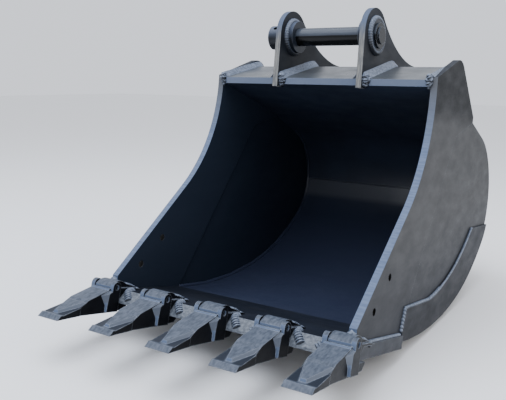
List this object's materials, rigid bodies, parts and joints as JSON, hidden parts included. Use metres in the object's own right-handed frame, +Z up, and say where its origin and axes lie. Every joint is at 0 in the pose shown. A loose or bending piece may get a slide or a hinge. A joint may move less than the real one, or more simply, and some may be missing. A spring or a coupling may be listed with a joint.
{
  "type": "excavator bucket",
  "caption": "Toothed digging bucket with a rolled shell, closed top box, twin hanger ears with a captive arm pin, and weld-on tooth adapters with pinned points.",
  "frame": {"origin": "on the ground under the middle of the bounding box", "axes": "+X to the bucket's right side along the pins, +Y to its back, +Z up; the mouth faces -Y and up"},
  "size_m": [0.906, 1.5747, 1.06],
  "materials": {
    "shell_paint": "semi-gloss graphite paint over rolled plate",
    "side_paint": "semi-gloss graphite paint over flame-cut plate",
    "top_box_paint": "semi-gloss graphite paint over bent plate",
    "lip_paint": "semi-gloss graphite paint over thick plate",
    "ear_paint": "semi-gloss graphite paint over thick plate",
    "boss_paint": "semi-gloss graphite paint over turned steel",
    "pin_paint": "gloss graphite paint over ground steel",
    "tooth_paint": "semi-gloss graphite paint over cast steel",
    "tooth_pin_steel": "thin paint over ground steel"
  },
  "bodies": {
    "bucket": {"shell_lower": "shell_paint", "shell_upper": "shell_paint", "roof_plate": "shell_paint", "heel_wear_strips": "shell_paint", "side_cutter_left": "side_paint", "side_cutter_right": "side_paint", "side_plate_left": "side_paint", "side_plate_right": "side_paint", "side_wear_plate_left": "side_paint", "side_wear_plate_right": "side_paint", "top_front_bar": "top_box_paint", "top_box_plate": "top_box_paint", "cutting_edge": "lip_paint", "hanger_ear_left": "ear_paint", "hanger_ear_right": "ear_paint", "arm_hub_left": "boss_paint", "arm_hub_right": "boss_paint", "link_hub_left": "boss_paint", "link_hub_right": "boss_paint", "pin_collar": "boss_paint", "tooth_adapter_1": "tooth_paint", "tooth_adapter_2": "tooth_paint", "tooth_adapter_3": "tooth_paint", "tooth_adapter_4": "tooth_paint", "tooth_adapter_5": "tooth_paint", "tooth_point_1": "tooth_paint", "tooth_point_2": "tooth_paint", "tooth_point_3": "tooth_paint", "tooth_point_4": "tooth_paint", "tooth_point_5": "tooth_paint"},
    "arm_pin": {"arm_pin": "pin_paint"},
    "tooth_pin_1": {"tooth_pin_1": "tooth_pin_steel"},
    "tooth_pin_2": {"tooth_pin_2": "tooth_pin_steel"},
    "tooth_pin_3": {"tooth_pin_3": "tooth_pin_steel"},
    "tooth_pin_4": {"tooth_pin_4": "tooth_pin_steel"},
    "tooth_pin_5": {"tooth_pin_5": "tooth_pin_steel"}
  },
  "joints": [
    {"name": "arm_pin_slide", "type": "slide", "parent": "bucket", "child": "arm_pin", "axis": [1, 0, 0], "range_m": [0, 0.43]},
    {"name": "tooth_pin_1_slide", "type": "slide", "parent": "bucket", "child": "tooth_pin_1", "axis": [1, 0, 0], "range_m": [0, 0.1]},
    {"name": "tooth_pin_2_slide", "type": "slide", "parent": "bucket", "child": "tooth_pin_2", "axis": [1, 0, 0], "range_m": [0, 0.1]},
    {"name": "tooth_pin_3_slide", "type": "slide", "parent": "bucket", "child": "tooth_pin_3", "axis": [1, 0, 0], "range_m": [0, 0.1]},
    {"name": "tooth_pin_4_slide", "type": "slide", "parent": "bucket", "child": "tooth_pin_4", "axis": [1, 0, 0], "range_m": [0, 0.1]},
    {"name": "tooth_pin_5_slide", "type": "slide", "parent": "bucket", "child": "tooth_pin_5", "axis": [1, 0, 0], "range_m": [0, 0.1]}
  ]
}
